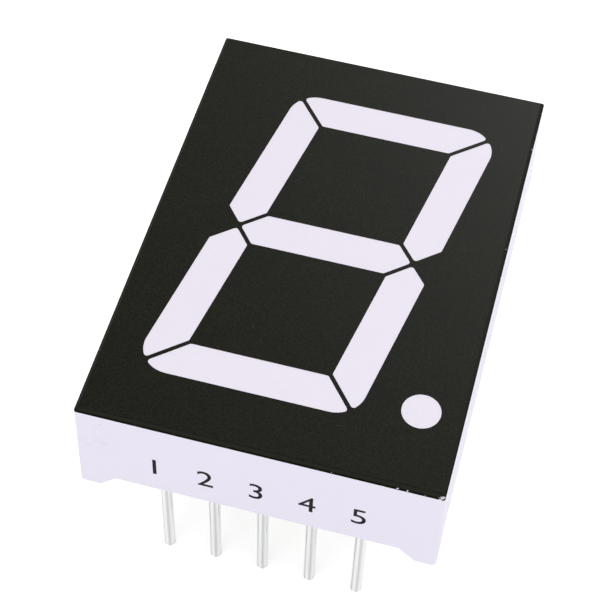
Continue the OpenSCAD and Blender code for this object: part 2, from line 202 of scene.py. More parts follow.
class DisplayStageSettings(PropertyGroup):
    """The floor, the lamps and the camera."""

    floor_size: length("Floor size", "Side of the floor", 1.6)
    floor: colour("Floor", "Colour of the floor", (0.84, 0.84, 0.84))
    floor_glow: share("Floor glow", "Light added to the floor as the camera sees it", 0.50)
    floor_gleam: share("Floor gleam", "Light added to the floor as metal and glass show it", 0.39)
    floor_mirror: share("Floor mirror", "Strength of the reflections in the floor", 0.5)
    sky: share("Sky", "Strength of the even light from all round", 0.90)
    key_power: watts("Key power", "Power of the main lamp", 0.25)
    sheen_power: watts("Sheen power", "Power of the lamp that only glossy surfaces show", 0.85)
    fill_power: watts("Fill power", "Power of the lamp at the right", 0.23)
    key_size: length("Key size", "Side of the main lamp", 0.22)
    sheen_size: length("Sheen size", "Side of the lamp that only glossy surfaces show", 0.10)
    fill_size: length("Fill size", "Side of the lamp at the right", 0.20)
    key_place: point("Key place", "Where the main lamp hangs", (-0.12, -0.36, 0.13))
    sheen_place: point(
        "Sheen place", "Where the lamp that only glossy surfaces show hangs", (0.070, 0.275, 0.205))
    fill_place: point("Fill place", "Where the lamp at the right hangs", (0.36, -0.10, 0.10))
    target: point(
        "Target", "The point that the camera looks at", (-1.53 * MM, -1.53 * MM, 15.0 * MM))
    azimuth: degrees("Azimuth", "Turn of the camera round the display, from the front", 13.06)
    elevation: degrees("Elevation", "Angle of the camera above the floor", 53.40)
    roll: degrees("Roll", "Turn of the camera about its own axis", 2.32)
    distance: length("Distance", "From the camera to its target", 144.0 * MM)
    lens: FloatProperty(
        name="Lens", description="Focal length of the camera in millimetres", default=105.6, min=1,
        unit="CAMERA")


SETTINGS = {
    "display_case": DisplayCaseSettings,
    "display_face": DisplayFaceSettings,
    "display_pins": DisplayPinSettings,
    "display_resin": DisplayResinSettings,
    "display_board": DisplayBoardSettings,
    "display_stage": DisplayStageSettings,
}


# ---- Modelling ----


def pick(*objects):
    """Selects only these objects and makes the first one active."""
    bpy.ops.object.select_all(action="DESELECT")
    for obj in objects:
        obj.select_set(True)
    bpy.context.view_layer.objects.active = objects[0]


def merged_copy(node, name):
    """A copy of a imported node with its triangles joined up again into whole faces."""
    source = frame["nodes"][node]
    piece = bpy.data.objects.new(name, source.data.copy())
    piece.data.name = name
    piece.data.materials.clear()
    bpy.context.scene.collection.objects.link(piece)
    pick(piece)
    bpy.ops.object.mode_set(mode="EDIT")
    bpy.ops.mesh.select_all(action="SELECT")
    bpy.ops.mesh.customdata_custom_splitnormals_clear()
    bpy.ops.mesh.remove_doubles(threshold=TOUCH)
    bpy.ops.mesh.dissolve_limited(angle_limit=math.radians(0.5))
    bpy.ops.object.mode_set(mode="OBJECT")
    return piece


def bevel_edges(piece, wanted, radius, sharp_angle=math.radians(20)):
    """Rounds the sharp edges of a piece whose two ends are both wanted."""
    pick(piece)
    bpy.ops.object.mode_set(mode="EDIT")
    bpy.ops.mesh.select_all(action="DESELECT")
    mesh = bmesh.from_edit_mesh(piece.data)
    for edge in mesh.edges:
        sharp = edge.is_manifold and edge.calc_face_angle() > sharp_angle
        if sharp and all(wanted(vert.co) for vert in edge.verts):
            edge.select_set(True)
    bmesh.update_edit_mesh(piece.data)
    bpy.ops.mesh.bevel(offset=radius, offset_type="OFFSET", segments=3, profile=0.5)
    bpy.ops.object.mode_set(mode="OBJECT")


def smooth(piece, angle=35):
    """Shades a piece smooth over its gentle edges, with the large faces kept flat."""
    pick(piece)
    bpy.ops.object.shade_smooth_by_angle(angle=math.radians(angle))
    bpy.ops.object.modifier_add(type="WEIGHTED_NORMAL")
    piece.modifiers[-1].keep_sharp = True
    bpy.ops.object.modifier_apply(modifier=piece.modifiers[-1].name)


def settle(piece, material, slot, *nodes):
    """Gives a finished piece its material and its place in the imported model."""
    pick(piece)
    bpy.ops.object.transform_apply(location=True, rotation=True, scale=True)
    piece.data.materials.clear()
    piece.data.materials.append(material)
    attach(piece, "root")
    if nodes:
        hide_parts(*nodes)
    bpy.ops.object.select_all(action="DESELECT")


def turned(name, profile, sides):
    """A round piece about the Z axis, drawn out of a disc through a profile of (radius, height)."""
    first_radius, first_height = profile[0]
    bpy.ops.object.select_all(action="DESELECT")
    bpy.ops.mesh.primitive_circle_add(
        vertices=sides, radius=first_radius, fill_type="NGON", location=(0, 0, 0))
    piece = bpy.context.active_object
    piece.name = piece.data.name = name
    bpy.ops.object.mode_set(mode="EDIT")
    bpy.ops.mesh.select_all(action="SELECT")
    bpy.ops.transform.translate(value=(0, 0, first_height))
    for (radius, height), (last_radius, last_height) in zip(profile[1:], profile):
        bpy.ops.mesh.extrude_region_move(
            TRANSFORM_OT_translate={"value": (0, 0, height - last_height)})
        scale = radius / last_radius
        bpy.ops.transform.resize(value=(scale, scale, 1), center_override=(0, 0, height))
    bpy.ops.mesh.select_all(action="DESELECT")
    bpy.ops.mesh.select_non_manifold(extend=False)
    bpy.ops.mesh.edge_face_add()
    bpy.ops.mesh.select_all(action="SELECT")
    bpy.ops.mesh.normals_make_consistent(inside=False)
    bpy.ops.object.mode_set(mode="OBJECT")
    return piece


def placed_copy(piece, name, place):
    """A copy of a finished piece, with its own mesh, moved by a vector."""
    copy = bpy.data.objects.new(name, piece.data.copy())
    copy.data.name = name
    copy.data.transform(Matrix.Translation(place))
    bpy.context.scene.collection.objects.link(copy)
    return copy


def joined(pieces, name):
    """One piece made of several."""
    pick(*pieces)
    bpy.ops.object.join()
    piece = bpy.context.active_object
    piece.name = piece.data.name = name
    return piece


def cut(piece, tool, operation):
    """Cuts a piece with a tool, or adds the tool to it, and takes the tool away."""
    pick(piece)
    bpy.ops.object.modifier_add(type="BOOLEAN")
    modifier = piece.modifiers[-1]
    modifier.operation = operation
    modifier.solver = "EXACT"
    modifier.object = tool
    bpy.ops.object.modifier_apply(modifier=modifier.name)
    bpy.data.objects.remove(tool, do_unlink=True)


def pin_place(pin):
    """Where a pin's axis meets the floor."""
    x, y, _ = MOUNTS[pin]["pos_m"]
    return Vector((x, y, 0))


# ---- Materials ----

INK_SPECK = (0.10, 0.095, 0.085)
PALE_DUST = (0.10, 0.10, 0.09)
BARE_PLASTIC = (0.70, 0.68, 0.74)
PRINT = (0.006, 0.005, 0.006)
THIN_PRINT = (0.06, 0.05, 0.06)


class Nodes:
    """A node tree under construction."""

    def __init__(self, tree):
        self.tree = tree

    def node(self, kind, settings=(), **inputs):
        """A new node, with settings on it and with values or links on its inputs."""
        made = self.tree.nodes.new(kind)
        for name, value in dict(settings).items():
            setattr(made, name, value)
        for name, value in inputs.items():
            self.feed(made.inputs[name.replace("_", " ")], value)
        return made

    def feed(self, socket, value):
        """Links an output to a socket, or sets the socket to a value."""
        if isinstance(value, bpy.types.NodeSocket):
            self.tree.links.new(value, socket)
        else:
            socket.default_value = value

    def maths(self, operation, a, b=0.0):
        """One step of arithmetic."""
        made = self.node("ShaderNodeMath", {"operation": operation})
        self.feed(made.inputs[0], a)
        self.feed(made.inputs[1], b)
        return made.outputs[0]

    def product(self, a, b):
        """Two values multiplied."""
        return self.maths("MULTIPLY", a, b)

    def ramp(self, value, low, high, out_low=0.0, out_high=1.0):
        """A value taken from one range to another, and held at its ends."""
        made = self.node(
            "ShaderNodeMapRange", Value=value, From_Min=low, From_Max=high, To_Min=out_low,
            To_Max=out_high)
        return made.outputs["Result"]


class Finish(Nodes):
    """A material under construction, with its shader and its coordinates."""

    def __init__(self, name, **sockets):
        self.material = bpy.data.materials.new(name)
        self.material.use_nodes = True
        super().__init__(self.material.node_tree)
        self.shader = self.tree.nodes["Principled BSDF"]
        self.place = self.tree.nodes.new("ShaderNodeTexCoord").outputs["Object"]
        for socket, value in sockets.items():
            self.surface(socket.replace("_", " "), value)

    def stretched(self, size, stretch=(1, 1, 1)):
        """Coordinates that count in patches of a size, longer along some axes."""
        scale = [1 / (size * k) for k in stretch]
        return self.node("ShaderNodeMapping", Vector=self.place, Scale=scale).outputs["Vector"]

    def noise(self, size, detail=2.0, stretch=(1, 1, 1), roughness=0.5):
        """Soft random patches of a size, from 0 to 1."""
        made = self.node(
            "ShaderNodeTexNoise", Vector=self.stretched(size, stretch), Scale=1.0, Detail=detail,
            Roughness=roughness)
        return made.outputs["Fac"]

    def spots(self, size):
        """The distance from the middle of the nearest scattered cell, in cells of a size."""
        made = self.node("ShaderNodeTexVoronoi", Vector=self.stretched(size), Scale=1.0)
        return made.outputs["Distance"]

    def away_from(self, spot):
        """The distance from a spot on the piece."""
        made = self.node("ShaderNodeVectorMath", {"operation": "DISTANCE"}, Vector=self.place)
        made.inputs[1].default_value = spot
        return made.outputs["Value"]

    def blend(self, share_of_second, first, second):
        """A mix of two colours."""
        made = self.node("ShaderNodeMix", {"data_type": "RGBA"})
        self.feed(made.inputs["Factor"], share_of_second)
        for socket, value in (("A_Color", first), ("B_Color", second)):
            target = next(s for s in made.inputs if s.identifier == socket)
            self.feed(target, value if isinstance(value, bpy.types.NodeSocket) else (*value, 1.0))
        return next(s for s in made.outputs if s.identifier == "Result_Color")

    def varied(self, pattern, base, dark, light):
        """A colour that a pattern takes from a darker shade to a lighter one."""
        return self.blend(pattern, shade(base, dark), shade(base, light))

    def relief(self, height, depth):
        """Raises the surface by a height from 0 to 1 times a depth."""
        made = self.node("ShaderNodeBump", Height=height, Distance=depth, Strength=1.0)
        if self.shader.inputs["Normal"].is_linked:
            self.feed(made.inputs["Normal"], self.shader.inputs["Normal"].links[0].from_socket)
        self.feed(self.shader.inputs["Normal"], made.outputs["Normal"])

    def surface(self, socket, value):
        """Sets an input of the shader."""
        self.feed(self.shader.inputs[socket], value)

    def roughen(self, pattern, low, high, start=0.2, end=0.8):
        """Roughness that runs from low to high as a pattern runs from start to end."""
        self.surface("Roughness", self.ramp(pattern, start, end, low, high))


def shade(base, factor):
    """A colour made lighter or darker."""
    return tuple(min(1.0, channel * factor) for channel in base)


def moulded_plastic(settings):
    """White moulded plastic: flow marks, grain, specks of ink, a smudge and a darker line down the
    vertical corners.
    """
    finish = Finish("moulded_plastic", IOR=1.5)
    across, along, height = finish.node("ShaderNodeSeparateXYZ", Vector=finish.place).outputs
    flow = finish.noise(5 * MM, detail=3)
    plain = finish.varied(flow, settings.plastic, 0.985, 1.012)
    near_face = finish.ramp(height, INK_LOW.z - 2.4 * MM, INK_LOW.z - 1.4 * MM)
    small = finish.ramp(finish.spots(0.9 * MM), 0.06, 0.10, 0.55, 0.0)
    chance = finish.ramp(finish.noise(1.7 * MM, detail=0), 0.55, 0.58)
    specks = finish.product(finish.product(near_face, small), chance)
    specked = finish.blend(specks, plain, INK_SPECK)
    smudge = (CASE_LOW.x + 1.6 * MM, CASE_LOW.y, INK_LOW.z - 3.2 * MM)
    near_smudge = finish.ramp(finish.away_from(smudge), 0.8 * MM, 2.4 * MM, 0.45, 0.0)
    rubbed = finish.product(near_smudge, finish.ramp(finish.noise(0.7 * MM, detail=3), 0.50, 0.62))
    smudged = finish.blend(rubbed, specked, shade(settings.plastic, 0.90))
    # A line down each vertical corner of the case, a little darker than the rest of the plastic.
    draft = finish.product(finish.maths("SUBTRACT", height, CASE_LOW.z), WALL_DRAFT)
    sides = []
    for offset, reach in ((across, CASE_HIGH.x), (along, CASE_HIGH.y)):
        out = finish.maths("ADD", finish.maths("ABSOLUTE", offset), draft)
        sides.append(finish.ramp(out, reach - 0.14 * MM, reach - 0.07 * MM))
    corner_line = finish.product(*sides)
    finish.surface("Base Color", finish.blend(corner_line, smudged, shade(settings.plastic, 0.945)))
    grain = finish.noise(settings.grain, detail=2)
    finish.roughen(grain, settings.roughness - 0.05, settings.roughness + 0.05)
    finish.relief(grain, 0.0018 * MM)
    finish.relief(finish.noise(2.2 * MM, detail=1), 0.003 * MM)
    return finish.material


def face_ink(settings):
    """Satin black ink: fine grain, soft cloudy patches and pale dust."""
    finish = Finish("satin_ink", IOR=1.5, Specular_IOR_Level=settings.ink_gloss)
    cloud = finish.ramp(finish.noise(4 * MM, detail=4, roughness=0.6), 0.3, 0.7, 0.8, 1.2)
    grain = finish.noise(settings.ink_grain, detail=3, roughness=0.6)
    mottle = finish.product(finish.ramp(grain, 0.38, 0.62), cloud)
    plain = finish.varied(mottle, settings.ink, 0.1, 2.0)
    small = finish.ramp(finish.spots(0.55 * MM), 0.06, 0.11, 0.3, 0.0)
    dust = finish.product(small, finish.ramp(finish.noise(1.1 * MM, detail=0), 0.60, 0.64))
    finish.surface("Base Color", finish.blend(dust, plain, PALE_DUST))
    finish.roughen(grain, settings.ink_roughness - 0.06, settings.ink_roughness + 0.06)
    finish.relief(grain, 0.010 * MM)
    finish.relief(finish.noise(1.6 * MM, detail=1), 0.003 * MM)
    return finish.material


def bevel_ink(settings):
    """The ink over the bevel, lighter than the face's ink by a painted sheen: dark at its foot, with
    nicks down to the plastic.
    """
    finish = Finish(
        "thin_ink", IOR=1.5, Roughness=settings.ink_roughness,
        Specular_IOR_Level=settings.bevel_gloss)
    grain = finish.noise(settings.ink_grain, detail=3, roughness=0.6)
    # The bevel takes the lighter ink with its painted sheen, and keeps the face's plain ink at its
    # foot.
    plain = finish.varied(grain, settings.thin_ink, 0.8, 1.2)
    height = finish.node("ShaderNodeSeparateXYZ", Vector=finish.place).outputs["Z"]
    foot = finish.ramp(height, INK_LOW.z + 0.13 * MM, INK_LOW.z + 0.19 * MM, 1.0, 0.0)
    lined = finish.blend(foot, plain, settings.ink)
    wear = finish.ramp(height, INK_LOW.z + 0.12 * MM, INK_LOW.z + 0.24 * MM, 0.05, 0.0)
    for x, corner_wear in ((INK_HIGH.x - 0.38 * MM, 0.28), (INK_LOW.x + 0.05 * MM, 0.20)):
        from_corner = finish.away_from((x, INK_LOW.y + 0.1 * MM, INK_LOW.z + 0.1 * MM))
        corner = finish.ramp(from_corner, 0.12 * MM, 0.40 * MM, corner_wear, 0.0)
        wear = finish.maths("ADD", wear, corner)
    ragged = finish.maths("ADD", finish.noise(0.22 * MM, detail=1), wear)
    nicks = finish.ramp(ragged, 0.80, 0.82)
    finish.surface("Base Color", finish.blend(nicks, lined, BARE_PLASTIC))
    finish.relief(grain, 0.004 * MM)
    return finish.material


def diffusing_resin(settings):
    """Milky resin that spreads the light of the chips, cast flush with the face."""
    finish = Finish(
        "diffusing_resin", IOR=1.52, Specular_IOR_Level=0.1, Subsurface_Weight=0.12,
        Subsurface_Scale=0.4 * MM, Subsurface_Radius=(1.0, 0.9, 0.8))
    milk = finish.noise(2.5 * MM, detail=4, roughness=0.6)
    plain = finish.varied(milk, settings.window, 0.985, 1.015)
    line = finish.maths("ABSOLUTE", finish.maths("SUBTRACT", finish.noise(1.1 * MM, detail=0), 0.5))
    broken = finish.ramp(finish.noise(0.5 * MM, detail=1), 0.5, 0.6)
    scuff = finish.product(finish.ramp(line, 0.008, 0.02, 1.0, 0.0), broken)
    dot_low, dot_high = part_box("light_window_dot")
    middle = (dot_low + dot_high) / 2
    middle.z = dot_high.z
    near_dot = finish.ramp(finish.away_from(middle), 1.2 * MM, 1.6 * MM, 1.0, 0.08)
    scuffed = finish.product(scuff, near_dot)
    finish.surface("Base Color", finish.blend(scuffed, plain, shade(settings.window, 0.80)))
    grain = finish.noise(0.09 * MM, detail=2)
    finish.roughen(grain, settings.window_roughness - 0.05, settings.window_roughness + 0.07)
    finish.relief(grain, 0.0015 * MM)
    finish.relief(finish.noise(1.2 * MM, detail=2), 0.005 * MM)
    return finish.material


def tinned_wire(settings):
    """Bright tin on drawn wire: faint streaks, and painted reflections as darker lines down the
    front, back and left of each pin.
    """
    finish = Finish("tinned_wire", Metallic=1.0)
    streak = finish.noise(0.05 * MM, detail=2, stretch=(1, 1, 40))
    patch = finish.noise(0.8 * MM, detail=3)
    mottle = finish.product(finish.maths("ADD", streak, patch), 0.5)
    plain = finish.varied(mottle, settings.tin, 0.93, 1.05)
    across = finish.node("ShaderNodeSeparateXYZ", Vector=finish.place).outputs["X"]
    pitch = pin_place("pin_2").x - pin_place("pin_1").x
    nearest = finish.product(finish.maths("ROUND", finish.maths("DIVIDE", across, pitch)), pitch)
    off_axis = finish.maths("SUBTRACT", across, nearest)
    waver = finish.noise(0.3 * MM, detail=1, stretch=(1, 1, 12))
    wander = finish.ramp(waver, 0.3, 0.7, -0.01 * MM, 0.01 * MM)
    # Painted reflections: a darker line down the front and back of each pin, and another down its
    # left side.
    line_place = 0.13 * MM
    from_line = finish.maths("ADD", finish.maths("SUBTRACT", off_axis, line_place), wander)
    half = settings.dull_width / 2
    face = finish.ramp(
        finish.maths("ABSOLUTE", from_line), half - 0.07 * MM, half + 0.08 * MM, 1.0, 0.0)
    left_reflection_line = finish.ramp(finish.maths("ADD", off_axis, wander), -0.31 * MM, -0.20 * MM, 1.0, 0.0)
    dull_patch_and_reflection_line = finish.maths("MAXIMUM", face, left_reflection_line)
    finish.surface("Base Color", finish.blend(dull_patch_and_reflection_line, plain, shade(settings.tin, settings.dull_tin)))
    finish.roughen(mottle, settings.tin_roughness - 0.07, settings.tin_roughness + 0.09, 0.3, 0.7)
    finish.relief(streak, 0.0005 * MM)
    finish.relief(patch, 0.001 * MM)
    return finish.material


def solder(settings):
    """Bright solder with a slightly grainy skin."""
    finish = Finish("solder", Metallic=1.0)
    grain = finish.noise(0.12 * MM, detail=3)
    finish.surface("Base Color", finish.varied(grain, settings.solder, 0.88, 1.08))
    finish.roughen(grain, 0.16, 0.34)
    finish.relief(grain, 0.006 * MM)
    return finish.material


def potting_resin(settings):
    """Clear resin with a milky cast and a self-levelled skin."""
    finish = Finish("potting_resin", IOR=1.52, Roughness=0.12, Alpha=settings.cover)
    cloud = finish.noise(4 * MM, detail=3)
    finish.surface("Base Color", finish.varied(cloud, settings.resin, 0.94, 1.05))
    finish.relief(finish.noise(3 * MM, detail=1), 0.02 * MM)
    return finish.material


def coated_laminate(settings):
    """Green coating over woven glass."""
    finish = Finish("coated_laminate", IOR=1.5)
    strands = []
    for axis in ("X", "Y"):
        wave = finish.node(
            "ShaderNodeTexWave", {"bands_direction": axis}, Scale=1.0, Distortion=0.4, Detail=1.0,
            Vector=finish.stretched(settings.weave * math.tau))
        strands.append(wave.outputs["Fac"])
    weave = finish.product(finish.maths("ADD", *strands), 0.5)
    finish.surface("Base Color", finish.varied(weave, settings.mask, 0.82, 1.2))
    finish.roughen(finish.noise(0.6 * MM), 0.26, 0.36)
    finish.relief(weave, 0.006 * MM)
    return finish.material


def etched_copper(settings):
    """Copper foil with a brushed, slightly dulled face."""
    finish = Finish("etched_copper", Metallic=1.0)
    brushed = finish.noise(0.05 * MM, detail=2, stretch=(1, 12, 1))
    dull_patch_and_reflection_line = finish.noise(1.5 * MM, detail=3)
    finish.surface("Base Color", finish.varied(dull_patch_and_reflection_line, settings.copper, 0.80, 1.1))
    finish.roughen(brushed, 0.24, 0.42)
    finish.relief(brushed, 0.002 * MM)
    return finish.material


def chip_crystal(settings):
    """The clear amber crystal of an LED chip, with a sawn face."""
    finish = Finish("chip_crystal", IOR=1.9, Roughness=0.2)
    sawn = finish.noise(0.03 * MM, detail=2, stretch=(1, 1, 6))
    finish.surface("Base Color", finish.varied(sawn, settings.crystal, 0.75, 1.15))
    finish.relief(sawn, 0.002 * MM)
    return finish.material


def drawn_gold(settings):
    """Bright gold wire."""
    finish = Finish("drawn_gold", Metallic=1.0)
    sheen = finish.noise(0.04 * MM, detail=1)
    finish.surface("Base Color", finish.varied(sheen, settings.gold, 0.9, 1.0))
    finish.roughen(sheen, 0.14, 0.24)
    return finish.material


def printing_ink():
    """Matt black marking ink that is a little thin in places."""
    finish = Finish("printing_ink", Roughness=0.6, Specular_IOR_Level=0.1)
    thin = finish.noise(0.12 * MM, detail=3, roughness=0.7)
    faded = finish.ramp(thin, 0.5, 0.8, 0.0, 0.4)
    finish.surface("Base Color", finish.blend(faded, PRINT, THIN_PRINT))
    finish.relief(thin, 0.003 * MM)
    return finish.material


# ---- Operators ----


class DISPLAY_OT_mould_case(Operator):
    """Round the edges of the white case and give it its moulded surface"""

    bl_idname = "display.mould_case"
    bl_label = "Mould the Case"

    def execute(self, context):
        settings = context.scene.display_case
        case = merged_copy("reflector_case", "case_moulding")
        bevel_edges(case, lambda place: place.z < RESIN_LOW.z, settings.edge_radius)
        smooth(case)
        settle(case, moulded_plastic(settings), "case_plastic", "reflector_case")
        return {"FINISHED"}


class DISPLAY_OT_coat_face(Operator):
    """Lay the black ink over the face and round its outer edge"""

    bl_idname = "display.coat_face"
    bl_label = "Coat the Face"

    def execute(self, context):
        settings = context.scene.display_face
        coat = merged_copy("face_ink", "face_coat")
        margin = 0.7 * MM

        def outside(place):
            return abs(place.x) > INK_HIGH.x - margin or abs(place.y) > INK_HIGH.y - margin

        def on_outer_edge(place):
            return outside(place) and place.z > INK_HIGH.z - TOUCH

        bevel_edges(coat, on_outer_edge, settings.edge_radius)
        smooth(coat, angle=30)
        settle(coat, face_ink(settings), "face_ink", "face_ink")
        coat.data.materials.append(bevel_ink(settings))
        for face in coat.data.polygons:
            upright_or_sloping = -0.1 < face.normal.z < 0.85
            if outside(face.center) and upright_or_sloping:
                face.material_index = 1
        return {"FINISHED"}


class DISPLAY_OT_fill_windows(Operator):
    """Give the eight light windows their milky resin"""

    bl_idname = "display.fill_windows"
    bl_label = "Fill the Windows"

    def execute(self, context):
        material = diffusing_resin(context.scene.display_face)
        for segment in SEGMENTS:
            window = frame["nodes"][f"light_window_{segment}"]
            window.data.materials.clear()
            window.data.materials.append(material)
        return {"FINISHED"}


class DISPLAY_OT_print_numbers(Operator):
    """Print the plain pin numbers on the front wall"""

    bl_idname = "display.print_numbers"
    bl_label = "Print the Pin Numbers"

    def execute(self, context):
        settings = context.scene.display_case
        rise = settings.number_rise
        lean = math.atan(WALL_DRAFT)
        wall_y = CASE_LOW.y + rise * math.tan(lean)
        font_rise = 0.69  # the height of a figure in Blender's own font, at a text size of 1
        same_place = 0.0002 * MM
        numbers = []
        for n, pin in enumerate(FRONT_PINS, 1):
            bpy.ops.object.select_all(action="DESELECT")
            bpy.ops.object.text_add(location=(0, 0, 0))
            number = bpy.context.active_object
            number.data.body = str(n)
            number.data.size = settings.number_height / font_rise
            number.data.align_x = "CENTER"
            number.data.extrude = settings.print_relief
            number.data.resolution_u = 6
            pick(number)
            bpy.ops.object.convert(target="MESH")
            bpy.ops.object.mode_set(mode="EDIT")
            bpy.ops.mesh.select_all(action="SELECT")
            bpy.ops.mesh.remove_doubles(threshold=same_place)
            bpy.ops.object.mode_set(mode="OBJECT")
            number.data.transform(
                Matrix.Translation((pin_place(pin).x, wall_y, CASE_LOW.z + rise))
                @ Matrix.Rotation(math.pi / 2 - lean, 4, "X"))
            numbers.append(number)
        settle(joined(numbers, "pin_numbers"), printing_ink(), "face_ink")
        return {"FINISHED"}


class DISPLAY_OT_draw_pins(Operator):
    """Draw the ten tinned wire pins, with cut tips and a thin upper edge of tin"""

    bl_idname = "display.draw_pins"
    bl_label = "Draw the Pins"

    def execute(self, context):
        settings = context.scene.display_pins
        material = tinned_wire(settings)
        waves = 12
        for index, pin in enumerate(PINS):
            mount = MOUNTS[pin]
            tinned = mount["dims"]["length_mm"] * MM
            radius = mount["dims"]["r_mm"] * MM
            start = mount["pos_m"][2] - tinned / 2
            shank = radius - settings.tin_thickness
            tip = (radius - start, 0.0), (radius - 0.3 * start, 0.25 * start)
            profile = [*tip, (radius, start)]
            for k in range(1, waves):
                phase = 2.4 * k + 1.7 * index
                bulge = settings.swell * math.sin(phase) * math.sin(math.pi * k / waves)
                profile.append((radius + min(0.0, bulge), start + tinned * k / waves))
            top = start + tinned
            thinned = radius - 0.012 * MM
            tin_edge = (radius, top), (thinned, top + 0.25 * MM), (shank, top + 0.6 * MM)
            profile += [*tin_edge, (shank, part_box(pin)[1].z)]
            wire = turned(f"{pin}_wire", profile, settings.sides)
            wire.data.transform(Matrix.Translation(pin_place(pin)))
            smooth(wire, angle=40)
            settle(wire, material, "tinned_wire", pin)
        return {"FINISHED"}


class DISPLAY_OT_flow_solder(Operator):
    """Flow a smooth fillet of solder round each pin on the back of the board"""

    bl_idname = "display.flow_solder"
    bl_label = "Flow the Solder"

    def execute(self, context):
        settings = context.scene.display_pins
        outer = SOLDER_HIGH.x - pin_place("pin_5").x
        wire_radius = MOUNTS["pin_1"]["dims"]["r_mm"] * MM
        inner = wire_radius - 0.06 * MM
        lip = inner + 0.11 * MM
        rise = SOLDER_HIGH.z - SOLDER_LOW.z
        steps = 8
        profile = [(inner, SOLDER_LOW.z)]
        for k in range(steps + 1):
            turn = math.pi / 2 * (1 - k / steps)
            radius = outer - (outer - lip) * math.sin(turn)
            profile.append((radius, SOLDER_HIGH.z - rise * (1 - math.cos(turn))))
        cone = turned("solder_cone", profile, settings.sides)
        fillets = [placed_copy(cone, f"fillet_{pin}", pin_place(pin)) for pin in PINS]
        bpy.data.objects.remove(cone, do_unlink=True)
        fillets = joined(fillets, "solder_fillets")
        smooth(fillets, angle=50)
        settle(fillets, solder(settings), "solder", "solder_joints")
        return {"FINISHED"}


class DISPLAY_OT_pour_resin(Operator):
    """Pour the milky potting resin into the back of the case"""

    bl_idname = "display.pour_resin"
    bl_label = "Pour the Resin"

    def execute(self, context):
        settings = context.scene.display_resin
        fill = self.block(settings)
        collars = self.collars(settings)
        cut(fill, collars, "UNION")
        smooth(fill, angle=40)
        settle(fill, potting_resin(settings), "potting_resin", "potting_resin")
        return {"FINISHED"}

    def block(self, settings):
        """The body of the resin: it climbs the walls, and has a hollow that holds the board."""
        lap = Vector((settings.overlap,) * 3)
        low, high = RESIN_LOW - lap, RESIN_HIGH + lap
        middle = (low + high) / 2
        size = high - low
        size.z = RESIN_HIGH.z - RESIN_LOW.z
        bpy.ops.object.select_all(action="DESELECT")
        bpy.ops.mesh.primitive_cube_add(size=1, location=(0, 0, 0))
        fill = bpy.context.active_object
        fill.name = fill.data.name = "potting_fill"
        fill.data.transform(Matrix.Translation(middle) @ Matrix.Diagonal((*size, 1)))
        bpy.ops.object.mode_set(mode="EDIT")

        def is_upright(edge):
            first, second = edge.verts
            return abs(first.co.z - second.co.z) > size.z / 2

        self.select(fill, edges=is_upright)
        corner_radius = 0.8 * MM
        bpy.ops.mesh.bevel(offset=corner_radius, segments=8, profile=0.5)
        self.select(fill, faces=lambda face: face.normal.z > 0.9)
        gap = RESIN_HIGH.x - BOARD_HIGH.x + 2 * settings.overlap
        bpy.ops.mesh.inset(thickness=gap, depth=0)
        depth = BOARD_HIGH.z - BOARD_LOW.z - settings.overlap
        bpy.ops.mesh.extrude_region_move(TRANSFORM_OT_translate={"value": (0, 0, -depth)})
        self.select(fill, faces=lambda face: face.normal.z < -0.9)
        steps = 6
        last = settings.wall_climb
        bpy.ops.transform.translate(value=(0, 0, -last))
        for k in range(1, steps + 1):
            drop = settings.wall_climb * (1 - k / steps) ** 2
            bpy.ops.mesh.inset(thickness=settings.wall_reach / steps, depth=0)
            bpy.ops.transform.translate(value=(0, 0, last - drop))
            last = drop
        bpy.ops.object.mode_set(mode="OBJECT")
        return fill

    def collars(self, settings):
        """The small collars of resin that climb the pins."""
        steps = 7
        sides = 32
        steepness = 2.2
        inner = 0.38 * MM
        root = 0.2 * MM
        skin = RESIN_LOW.z
        profile = [(inner, skin - settings.pin_climb)]
        for k in range(1, steps + 1):
            out = k / steps
            radius = inner + (settings.pin_reach - inner) * out
            profile.append((radius, skin - settings.pin_climb * (1 - out) ** steepness))
        profile.append((settings.pin_reach, skin + root))
        collar = turned("resin_collar", profile, sides)
        collars = [placed_copy(collar, f"collar_{pin}", pin_place(pin)) for pin in PINS]
        bpy.data.objects.remove(collar, do_unlink=True)
        return joined(collars, "resin_collars")

    def select(self, piece, edges=None, faces=None):
        """Selects the edges or faces of a piece in edit mode that a test picks."""
        bpy.ops.mesh.select_all(action="DESELECT")
        mesh = bmesh.from_edit_mesh(piece.data)
        mesh.normal_update()
        for item in mesh.edges if edges else mesh.faces:
            if (edges or faces)(item):
                item.select_set(True)
        bmesh.update_edit_mesh(piece.data)


class DISPLAY_OT_finish_board(Operator):
    """Coat the circuit board and give its tracks, chips and bond wires their finish"""

    bl_idname = "display.finish_board"
    bl_label = "Finish the Board"

    def execute(self, context):
        settings = context.scene.display_board
        finishes = {
            "circuit_board": coated_laminate(settings),
            "copper_tracks": etched_copper(settings),
            "led_chips": chip_crystal(settings),
            "bond_wires": drawn_gold(settings),
        }
        for node, piece in frame["nodes"].items():
            for start, material in finishes.items():
                if node.startswith(start):
                    piece.data.materials.clear()
                    piece.data.materials.append(material)
        return {"FINISHED"}


